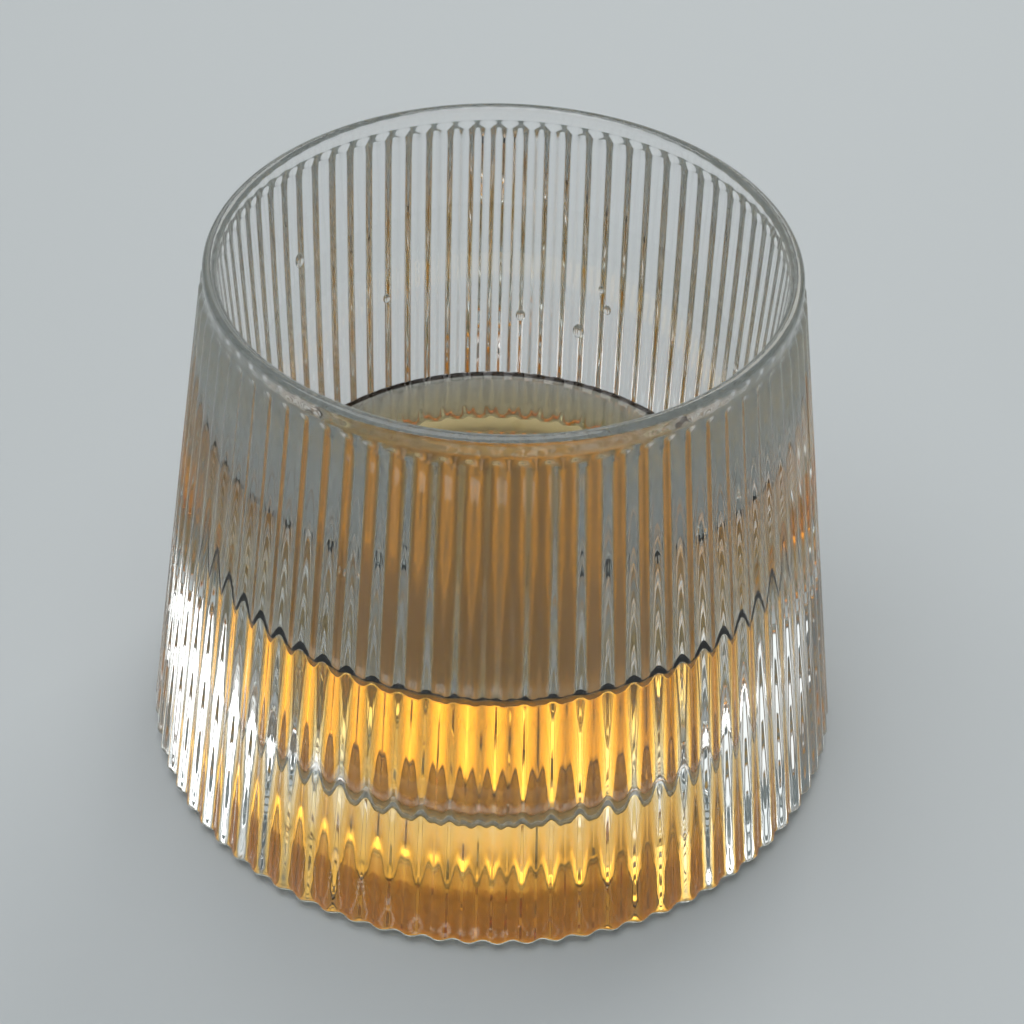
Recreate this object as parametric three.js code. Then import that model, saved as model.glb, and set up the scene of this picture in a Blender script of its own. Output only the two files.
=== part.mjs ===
// A reeded whiskey tumbler of pressed clear glass, partly filled with whiskey.
// Millimetres, +Z up. The origin is on the table, at the middle of the foot.

import * as THREE from 'three';

// Driving dimensions of the glass
const height = 76.8;
const lipRadius = 38.0; // outside of the smooth band under the lip
const crestTopRadius = 38.6; // reed crests just under the smooth band
const crestBaseRadius = 49.0; // reed crests just above the heel
const floorHeight = 8.0; // thickness of the heavy base
const lipThickness = 1.8;
const boreFloorRadius = 30.2; // the bore narrows downwards, so the wall thickens to 18 mm at the floor
const floorFillet = 6.0; // inside corner between floor and wall
const cornerSteps = 3; // facets round the inside corner
const lipSteps = 4; // facets over the rounded lip

// Reeds: a wave of rounded ribs and grooves, pressed into the outside only
const reedCount = 78;
const reedDepth = 0.65; // from crest to groove
const reedSteps = 4; // facets across one reed
const reedTop = height - 4.1; // full depth up to here
const bandBottom = height - 2.6; // smooth from here up

// Foot and heel
const heelRadius = 2.0;
const footOuterRadius = 46.0;
const footInnerRadius = 39.0;
const puntHeight = 1.0; // the underside is slightly hollow, so that only a ring touches the table

// Whiskey
const fillHeight = 33.9;
const liquidGap = 0.1; // clearance between the two meshes
const liquidSegments = 78;

const segments = reedCount * reedSteps;
const boreTopRadius = lipRadius - lipThickness;
const boreTopHeight = height - lipThickness / 2;

// Radius of the smooth bore at a height: a straight cone from the lip to the floor
const boreSlope = (boreTopRadius - boreFloorRadius) / (boreTopHeight - floorHeight);
function boreRadius(z) {
  return boreFloorRadius + boreSlope * (z - floorHeight);
}

// Points of an arc about a centre, from one angle to another in degrees, both ends included
function arc(centreR, centreZ, radius, fromDeg, toDeg, steps) {
  const points = [];
  for (let i = 0; i <= steps; i += 1) {
    const a = THREE.MathUtils.degToRad(fromDeg + ((toDeg - fromDeg) * i) / steps);
    points.push(new THREE.Vector2(centreR + radius * Math.cos(a), centreZ + radius * Math.sin(a)));
  }
  return points;
}

// The rounded inside corner of the floor, touching the floor and the sloping bore.
// The offset shrinks the whole corner inwards, which gives the liquid its clearance.
function floorCorner(offset, steps) {
  const lean = Math.atan(boreSlope);
  const radius = floorFillet - offset;
  const centreZ = floorHeight + floorFillet;
  const centreR = boreRadius(centreZ) - floorFillet / Math.cos(lean);
  return arc(centreR, centreZ, radius, -90, -THREE.MathUtils.radToDeg(lean), steps);
}

// How deep the grooves between the reeds are at a point of the outside, from 0 to 1
function reedFade(r, z) {
  if (z <= 0) return 0;
  if (z < heelRadius) return THREE.MathUtils.smoothstep(r, footOuterRadius, crestBaseRadius);
  return 1 - THREE.MathUtils.smoothstep(z, reedTop, bandBottom);
}

// A solid of revolution about Z from a profile of radii and heights that starts and ends on the axis
function turned(profile, around) {
  const geometry = new THREE.LatheGeometry(profile, around);
  geometry.rotateX(Math.PI / 2);
  return geometry;
}

function glassGeometry() {
  const lipCentreR = lipRadius - lipThickness / 2;
  const heelWidth = crestBaseRadius - footOuterRadius;
  const heelMiddle = new THREE.Vector2(
    footOuterRadius + heelWidth * Math.SQRT1_2,
    heelRadius * (1 - Math.SQRT1_2),
  );
  const underside = [
    new THREE.Vector2(0, puntHeight),
    new THREE.Vector2(footInnerRadius, 0),
  ];
  const outside = [
    new THREE.Vector2(footOuterRadius, 0),
    heelMiddle,
    new THREE.Vector2(crestBaseRadius, heelRadius),
    new THREE.Vector2(crestTopRadius, reedTop),
    new THREE.Vector2(lipRadius, bandBottom),
  ];
  const lip = arc(lipCentreR, boreTopHeight, lipThickness / 2, 0, 180, lipSteps);
  const corner = floorCorner(0, cornerSteps).reverse();
  const profile = [...underside, ...outside, ...lip, ...corner, new THREE.Vector2(0, floorHeight)];
  const geometry = turned(profile, segments);

  // Press the grooves into the outside, as an even wave round the glass
  const position = geometry.attributes.position;
  const point = new THREE.Vector3();
  for (let i = 0; i < position.count; i += 1) {
    const row = i % profile.length;
    const outsideRow = row - underside.length;
    if (outsideRow < 0 || outsideRow >= outside.length) continue;
    const column = Math.floor(i / profile.length);
    const acrossReed = (column % reedSteps) / reedSteps - 0.5;
    const fade = reedFade(profile[row].x, profile[row].y);
    const groove = (reedDepth * fade * (1 - Math.cos(2 * Math.PI * acrossReed))) / 2;
    point.fromBufferAttribute(position, i);
    const scale = 1 - groove / profile[row].x;
    position.setXYZ(i, point.x * scale, point.y * scale, point.z);
  }
  return geometry;
}

function whiskeyGeometry() {
  const profile = [
    new THREE.Vector2(0, floorHeight + liquidGap),
    ...floorCorner(liquidGap, cornerSteps),
    new THREE.Vector2(boreRadius(fillHeight) - liquidGap, fillHeight),
    new THREE.Vector2(0, fillHeight),
  ];
  return turned(profile, liquidSegments);
}

const clearGlass = new THREE.MeshStandardMaterial({
  color: 0xdfe6e4,
  roughness: 0.03,
  metalness: 0,
  transparent: true,
  opacity: 0.35,
});
const amberWhiskey = new THREE.MeshStandardMaterial({
  color: 0xd98a1e,
  roughness: 0.02,
  metalness: 0,
  transparent: true,
  opacity: 0.7,
});

function sceneNode(name, geometry, material) {
  const mesh = new THREE.Mesh(geometry, material);
  mesh.name = name;
  return mesh;
}

const tumbler = new THREE.Group();
tumbler.add(sceneNode('glass_tumbler', glassGeometry(), clearGlass));
tumbler.add(sceneNode('whiskey', whiskeyGeometry(), amberWhiskey));

export default tumbler;
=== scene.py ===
import math

import bpy
import numpy as np
from mathutils import Matrix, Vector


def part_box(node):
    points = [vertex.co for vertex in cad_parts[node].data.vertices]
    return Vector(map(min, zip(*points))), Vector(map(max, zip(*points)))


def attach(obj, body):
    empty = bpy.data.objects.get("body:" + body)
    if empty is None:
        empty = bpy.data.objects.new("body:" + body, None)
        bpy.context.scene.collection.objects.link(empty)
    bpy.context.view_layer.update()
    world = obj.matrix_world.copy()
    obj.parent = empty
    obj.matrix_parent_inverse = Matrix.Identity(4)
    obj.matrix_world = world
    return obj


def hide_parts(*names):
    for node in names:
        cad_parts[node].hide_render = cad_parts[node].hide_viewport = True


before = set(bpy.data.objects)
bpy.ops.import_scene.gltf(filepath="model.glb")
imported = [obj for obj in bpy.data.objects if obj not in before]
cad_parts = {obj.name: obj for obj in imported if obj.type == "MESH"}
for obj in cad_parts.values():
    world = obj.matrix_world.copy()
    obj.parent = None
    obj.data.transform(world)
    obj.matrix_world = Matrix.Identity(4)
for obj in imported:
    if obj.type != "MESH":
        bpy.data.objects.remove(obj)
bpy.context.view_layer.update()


# ---- Glass tumbler --------------------------------------------------------------------------------
# One piece of clear soda-lime glass, pressed hot in a reeded mould, with a plain tapered plunger for the
# bore: the wall is thin at the lip and thick at the foot. The lip was fire-polished, which left a smooth
# band above the reeds. The glass stands on the narrow ring round its slightly hollow underside.
MM = 0.001
glass_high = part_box("glass_tumbler")[1]
glass_height = glass_high[2]
base_crest = glass_high[0]

reed_count = 78
reed_depth = 0.65 * MM
reed_columns = 14               # points across one reed
lip_thickness = 1.8 * MM
lip_outer = 38.0 * MM
top_crest = 38.6 * MM
heel_height = 2.0 * MM
foot_outer = 46.0 * MM
foot_inner = 39.0 * MM
punt_height = 1.0 * MM
reed_end = glass_height - 4.1 * MM
band_start = glass_height - 2.6 * MM
ghost_share = 0.07              # fire-polishing leaves a faint ghost of the reeds in the smooth band
floor_height = 8.0 * MM
floor_fillet = 6.0 * MM
bore_floor_radius = 30.2 * MM
underside_rings = 16
heel_steps = 10
lip_steps = 16
corner_steps = 14
wall_spacing = 1.6 * MM         # between the rings of points up the straight walls

bore_top_height = glass_height - lip_thickness / 2
bore_slope = (lip_outer - lip_thickness - bore_floor_radius) / (bore_top_height - floor_height)


def bore_radius(height):
    return bore_floor_radius + bore_slope * (height - floor_height)


def straight(start, end, spacing):
    """Points from start up to, and without, end."""
    steps = max(1, round(math.dist(start, end) / spacing))
    return [tuple(a + (b - a) * i / steps for a, b in zip(start, end)) for i in range(steps)]


def curve(centre, half_width, half_height, from_deg, to_deg, steps):
    """Points on an ellipse, from one angle up to, and without, another."""
    points = []
    for i in range(steps):
        angle = math.radians(from_deg + (to_deg - from_deg) * i / steps)
        points.append((centre[0] + half_width * math.cos(angle), centre[1] + half_height * math.sin(angle)))
    return points


def smooth(value, low, high):
    share = np.clip((value - low) / (high - low), 0.0, 1.0)
    return share * share * (3.0 - 2.0 * share)


lean = math.degrees(math.atan(bore_slope))
corner_height = floor_height + floor_fillet
corner_centre = bore_radius(corner_height) - floor_fillet / math.cos(math.radians(lean))
lip_centre = (lip_outer - lip_thickness / 2, bore_top_height)

outline = []
for i in range(1, underside_rings):
    share = i / underside_rings
    outline.append((foot_inner * share, punt_height * (1 - share ** 2)))
outline += straight((foot_inner, 0), (foot_outer, 0), 1.75 * MM)
outline += curve((foot_outer, heel_height), base_crest - foot_outer, heel_height, -90, 0, heel_steps)
outline += straight((base_crest, heel_height), (top_crest, reed_end), wall_spacing)
outline += straight((top_crest, reed_end), (lip_outer, band_start), 0.15 * MM)
outline += straight((lip_outer, band_start), (lip_outer, bore_top_height), 0.6 * MM)
outside_rows = len(outline)
outline += curve(lip_centre, lip_thickness / 2, lip_thickness / 2, 0, 180, lip_steps)
bore_top = (lip_outer - lip_thickness, bore_top_height)
outline += straight(bore_top, (bore_radius(corner_height), corner_height), wall_spacing)
outline += curve((corner_centre, corner_height), floor_fillet, floor_fillet, -lean, -90, corner_steps)
outline += straight((corner_centre, floor_height), (0, floor_height), 2.4 * MM)
outline = np.array(outline)
radius, height = outline[:, 0], outline[:, 1]

# Hot glass fills a mould unevenly, so each reed is up to 5% deeper or shallower than the rest
angles = np.arange(reed_count * reed_columns) * 2 * math.pi / (reed_count * reed_columns)
depth_spread = 0.05
reed_draw = np.random.RandomState(7).uniform(-1, 1, reed_count)
reed_place = angles * reed_count / (2 * math.pi)
own_depth = np.interp(reed_place, np.arange(reed_count + 1), np.append(reed_draw, reed_draw[0]))
own_depth = 1 + depth_spread * own_depth

fade = 1 - (1 - ghost_share) * smooth(height, reed_end, band_start)
fade *= 1 - smooth(height, band_start, bore_top_height)
fade *= np.where(height < heel_height, smooth(radius, foot_outer, base_crest), 1.0)
fade[outside_rows:] = 0.0
wave = (1 - np.cos(reed_count * angles)) / 2        # 0 on the crests, 1 in the grooves
groove = reed_depth * fade[:, None] * (own_depth * wave)[None, :]


ripple_size = 0.006 * MM
ripple_waves = 9


def ripple(height, angles):
    """Slow uneven bumps, as a chilled surface has: a sum of waves that close round the glass."""
    draw = np.random.RandomState(3)
    total = np.zeros((len(height), len(angles)))
    for _ in range(ripple_waves):
        around = draw.randint(3, 22)
        up = draw.uniform(60, 420)
        total += np.cos(around * angles[None, :] + up * height[:, None] + draw.uniform(0, 2 * math.pi))
    return ripple_size * total / math.sqrt(ripple_waves)


on_bore = np.zeros(len(height))
on_bore[outside_rows + lip_steps:] = 1.0
on_bore *= radius >= corner_centre
wall_ripple = ripple(height, angles) * on_bore[:, None]

points = np.zeros((len(radius), len(angles), 3))
points[:, :, 0] = (radius[:, None] - groove + wall_ripple) * np.cos(angles)[None, :]
points[:, :, 1] = (radius[:, None] - groove + wall_ripple) * np.sin(angles)[None, :]
points[:, :, 2] = height[:, None]


def closed_skin(name, points, bottom, top):
    """A closed mesh from rings of points, with one point on the axis at each end."""
    rings, columns = points.shape[:2]
    verts = np.concatenate([[(0, 0, bottom)], points.reshape(-1, 3), [(0, 0, top)]])
    here = 1 + np.arange(columns)
    after = 1 + (np.arange(columns) + 1) % columns
    faces = [np.stack([np.zeros(columns, int), after, here], axis=1).tolist()]
    for ring in range(rings - 1):
        a, b = ring * columns, (ring + 1) * columns
        faces.append(np.stack([a + here, a + after, b + after, b + here], axis=1).tolist())
    last = (rings - 1) * columns
    faces.append(np.stack([last + here, last + after, np.full(columns, len(verts) - 1)], axis=1).tolist())
    mesh = bpy.data.meshes.new(name)
    mesh.from_pydata(verts.tolist(), [], [face for group in faces for face in group])
    mesh.update()
    mesh.shade_smooth()
    piece = bpy.data.objects.new(name, mesh)
    bpy.context.scene.collection.objects.link(piece)
    return piece


glass = closed_skin("reeded_glass", points, punt_height, floor_height)


def linear(hex_colour):
    """An sRGB hex colour as the linear colour that a shader takes."""
    parts = [int(hex_colour[i:i + 2], 16) / 255 for i in (1, 3, 5)]
    return [p / 12.92 if p <= 0.04045 else ((p + 0.055) / 1.055) ** 2.4 for p in parts] + [1.0]


def add(tree, kind, settings=(), links=()):
    """Adds a node, sets its properties and its sockets by name, and links sockets to others' outputs."""
    node = tree.nodes.new(kind)
    for key, value in dict(settings).items():
        if key in node.inputs:
            node.inputs[key].default_value = value
        else:
            setattr(node, key, value)
    for key, output in dict(links).items():
        tree.links.new(output, node.inputs[key])
    return node


# Pressed soda-lime glass: colourless, with a faint grey-green that shows only through its thick base. The
# skin chilled against the mould with slow waves, and a film from fingers dulls it in places.
chill_spacing = 11.1 * MM
film_spacing = 3.85 * MM
clear_glass = bpy.data.materials.new("pressed_soda_lime_glass")
clear_glass.use_nodes = True
tree = clear_glass.node_tree
tree.nodes.clear()
output = add(tree, "ShaderNodeOutputMaterial")
place = add(tree, "ShaderNodeTexCoord")
chill = add(tree, "ShaderNodeTexNoise",
            {"Scale": 1 / chill_spacing, "Detail": 2.0}, {"Vector": place.outputs["Object"]})
chill_bump = add(tree, "ShaderNodeBump",
                 {"Strength": 0.02, "Distance": 0.5 * MM}, {"Height": chill.outputs["Fac"]})
film = add(tree, "ShaderNodeTexNoise",
           {"Scale": 1 / film_spacing, "Detail": 4.0}, {"Vector": place.outputs["Object"]})
film_range = add(tree, "ShaderNodeMapRange",
                 {"From Min": 0.45, "From Max": 0.75, "To Min": 0.0, "To Max": 0.06},
                 {"Value": film.outputs["Fac"]})
shader = add(tree, "ShaderNodeBsdfPrincipled",
             {"Base Color": linear("#ffffff"), "Transmission Weight": 1.0, "IOR": 1.52},
             {"Roughness": film_range.outputs["Result"], "Normal": chill_bump.outputs["Normal"]})
tint = add(tree, "ShaderNodeVolumeAbsorption", {"Color": linear("#e6f2ee"), "Density": 5.0})
tree.links.new(shader.outputs["BSDF"], output.inputs["Surface"])
tree.links.new(tint.outputs["Volume"], output.inputs["Volume"])
glass.data.materials.append(clear_glass)

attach(glass, "root")
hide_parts("glass_tumbler")


# ---- Whiskey --------------------------------------------------------------------------------------
# The drink, a separate body of liquid that wets the bore and the floor. Its edge climbs the glass a little.
# The skin is set a hair into the glass, so that light passes from one to the other with no air between.
whiskey_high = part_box("whiskey")[1]
fill_height = whiskey_high[2]
into_glass = 0.15 * MM
edge_climb = 0.3 * MM
edge_reach = 0.6 * MM

liquid_columns = 312
bottom_rings = 8
liquid_corner = floor_fillet + into_glass
edge_top = fill_height + edge_climb
edge = bore_radius(edge_top) + into_glass
outline = [(corner_centre * i / bottom_rings, floor_height - into_glass) for i in range(1, bottom_rings)]
outline += curve((corner_centre, corner_height), liquid_corner, liquid_corner, -90, -lean, corner_steps)
outline += straight((bore_radius(corner_height) + into_glass, corner_height), (edge, edge_top), wall_spacing)

# The surface, from the glass inwards: points close together over the climbing edge, then wide apart
inward = np.concatenate([np.linspace(0, 5 * MM, 26), np.linspace(8 * MM, edge - 2 * MM, 12)])
outline += [(edge - step, fill_height + edge_climb * math.exp(-step / edge_reach)) for step in inward]
outline = np.array(outline)
liquid_angles = np.arange(liquid_columns) * 2 * math.pi / liquid_columns
liquid_points = np.zeros((len(outline), liquid_columns, 3))
liquid_points[:, :, 0] = outline[:, 0][:, None] * np.cos(liquid_angles)[None, :]
liquid_points[:, :, 1] = outline[:, 0][:, None] * np.sin(liquid_angles)[None, :]
liquid_points[:, :, 2] = outline[:, 1][:, None]
whiskey = closed_skin("whiskey_liquid", liquid_points, floor_height - into_glass, fill_height)

# Whiskey at 40% alcohol: perfectly clear, with an oak amber that deepens with the thickness looked through.
amber_whiskey = bpy.data.materials.new("oak_aged_whiskey")
amber_whiskey.use_nodes = True
tree = amber_whiskey.node_tree
tree.nodes.clear()
output = add(tree, "ShaderNodeOutputMaterial")
shader = add(tree, "ShaderNodeBsdfPrincipled",
             {"Base Color": linear("#ffffff"), "Transmission Weight": 1.0, "IOR": 1.36, "Roughness": 0.0})
oak = add(tree, "ShaderNodeVolumeAbsorption", {"Color": linear("#fee246"), "Density": 66.0})
tree.links.new(shader.outputs["BSDF"], output.inputs["Surface"])
tree.links.new(oak.outputs["Volume"], output.inputs["Volume"])
whiskey.data.materials.append(amber_whiskey)

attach(whiskey, "root")
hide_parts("whiskey")


# ---- Drops on the bore ----------------------------------------------------------------------------
# A few drops of the whiskey left clinging inside the glass by a swirl. Each is a flat dome, longer
# than it is wide because it hangs down the wall, with its back wetting the glass.
drop_places = ((71, 42.8, 0.85), (64, 47.5, 0.6), (86, 44.0, 0.7), (66, 50.5, 0.5), (144, 61.0, 0.8),
               (120, 49.0, 0.55), (-45, 55.0, 0.6), (-38, 50.0, 0.5), (-33, 56.5, 0.45), (-118, 51.0, 0.5),
               (20, 52.0, 0.7), (185, 47.0, 0.6))        # bearing in degrees, height and half width in mm
drop_bulge = 0.45               # height of the dome for its half width
drop_hang = 1.35                # length for its width
drop_sink = 0.04 * MM           # how far its back wets into the glass
drop_rings = 6
drop_columns = 20


def drop_shell(bearing, up, half_width):
    """Points of one closed drop: rings from rim to crown, then the crown and the middle of its back."""
    shell = []
    for ring in range(drop_rings):
        tilt = math.radians(90 * ring / drop_rings)
        for column in range(drop_columns):
            around = 2 * math.pi * column / drop_columns
            shell.append((half_width * math.cos(tilt) * math.cos(around),
                          half_width * drop_hang * math.cos(tilt) * math.sin(around),
                          half_width * drop_bulge * math.sin(tilt) - drop_sink))
    shell += [(0, 0, half_width * drop_bulge - drop_sink), (0, 0, -drop_sink)]
    placed = []
    for sideways, along, inward in shell:
        height = up + along
        reach = bore_radius(height) - inward
        angle = math.radians(bearing) + sideways / reach
        placed.append((reach * math.cos(angle), reach * math.sin(angle), height))
    return placed


drop_verts, drop_faces = [], []
for bearing, up, half_width in drop_places:
    first = len(drop_verts)
    drop_verts += drop_shell(bearing, up * MM, half_width * MM)
    crown = first + drop_rings * drop_columns
    back = crown + 1
    for column in range(drop_columns):
        beside = (column + 1) % drop_columns
        for ring in range(drop_rings - 1):
            low = first + ring * drop_columns
            high = low + drop_columns
            drop_faces.append((low + beside, low + column, high + column, high + beside))
        last = first + (drop_rings - 1) * drop_columns
        drop_faces.append((last + beside, last + column, crown))
        drop_faces.append((first + column, first + beside, back))
drop_mesh = bpy.data.meshes.new("whiskey_drops")
drop_mesh.from_pydata(drop_verts, [], drop_faces)
drop_mesh.update()
drop_mesh.shade_smooth()
drops = bpy.data.objects.new("whiskey_drops", drop_mesh)
bpy.context.scene.collection.objects.link(drops)
drop_mesh.materials.append(amber_whiskey)

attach(drops, "root")


# ---- Studio ---------------------------------------------------------------------------------------
# A pale matt table top, 8 m wide, with soft lamps: three rectangles of light behind the glass, which shine
# through it towards the camera, and a broad one overhead. Lamp sizes and distances are in metres.
floor_half = 4.0
table_gap = 0.02 * MM           # keeps the table's surface clear of the ring that stands on it
corners = [(-floor_half, -floor_half, 0), (floor_half, -floor_half, 0),
           (floor_half, floor_half, 0), (-floor_half, floor_half, 0)]
floor_mesh = bpy.data.meshes.new("table_top")
floor_mesh.from_pydata(corners, [], [(0, 1, 2, 3)])
table_top = bpy.data.objects.new("table_top", floor_mesh)
bpy.context.scene.collection.objects.link(table_top)
pale_laminate = bpy.data.materials.new("pale_matt_laminate")
pale_laminate.use_nodes = True
pale_shader = pale_laminate.node_tree.nodes["Principled BSDF"]
pale_shader.inputs["Base Color"].default_value = linear("#d0d4d4")
pale_shader.inputs["Roughness"].default_value = 0.6
floor_mesh.materials.append(pale_laminate)
table_top.location.z = -table_gap

softbox_distance = 0.9


def softbox(name, bearing, elevation, size, watts, colour):
    """A rectangular lamp facing the glass: bearing in degrees round from +X, elevation above the table."""
    turn = math.radians(bearing)
    rise = math.radians(elevation)
    lamp = bpy.data.lights.new(name, "AREA")
    lamp.shape = "RECTANGLE"
    lamp.size, lamp.size_y = size
    lamp.energy = watts
    lamp.color = linear(colour)[:3]
    holder = bpy.data.objects.new(name, lamp)
    holder.location = (softbox_distance * math.cos(turn) * math.cos(rise),
                       softbox_distance * math.sin(turn) * math.cos(rise),
                       softbox_distance * math.sin(rise) + glass_height / 2)
    holder.rotation_euler = (math.pi / 2 - rise, 0, math.pi / 2 + turn)
    bpy.context.scene.collection.objects.link(holder)


softbox("window_behind", 66, 41, (0.46, 0.36), 1.75, "#ffffff")
softbox("second_window_behind", 110, 40, (0.34, 0.28), 0.30, "#ffffff")
softbox("low_window_behind", 92, 24, (0.90, 0.20), 0.5, "#ffffff")
softbox("ceiling", 200, 80, (0.90, 0.90), 5.5, "#fbfcff")

world = bpy.data.worlds.new("studio_air")
world.use_nodes = True
world.node_tree.nodes["Background"].inputs["Color"].default_value = linear("#8b979a")
world.node_tree.nodes["Background"].inputs["Strength"].default_value = 0.4
bpy.context.scene.world = world


# ---- Camera ---------------------------------------------------------------------------------------
# A portrait lens a third of a metre away, looking down into the glass with a slight roll.
camera_data = bpy.data.cameras.new("camera")
camera_data.lens = 83.3
camera_data.sensor_width = 36.0
camera_data.clip_start = 0.01
camera = bpy.data.objects.new("camera", camera_data)
bpy.context.scene.collection.objects.link(camera)
bpy.context.scene.camera = camera
looks_at = np.array([2.02, 0.0, 34.43]) * MM
tilt = math.radians(39.965)
roll = math.radians(1.849)
distance = 326.3 * MM
stands_at = Matrix.Translation(looks_at + distance * np.array([0, -math.cos(tilt), math.sin(tilt)]))
tipped = Matrix.Rotation(math.pi / 2 - tilt, 4, "X") @ Matrix.Rotation(roll, 4, "Z")
camera.matrix_world = stands_at @ tipped

bpy.context.scene.view_settings.view_transform = "Standard"

# Enough bounces for light to cross the reeds, the bore and the whiskey several times
bpy.context.scene.cycles.max_bounces = 24
bpy.context.scene.cycles.transmission_bounces = 24
bpy.context.scene.cycles.glossy_bounces = 12
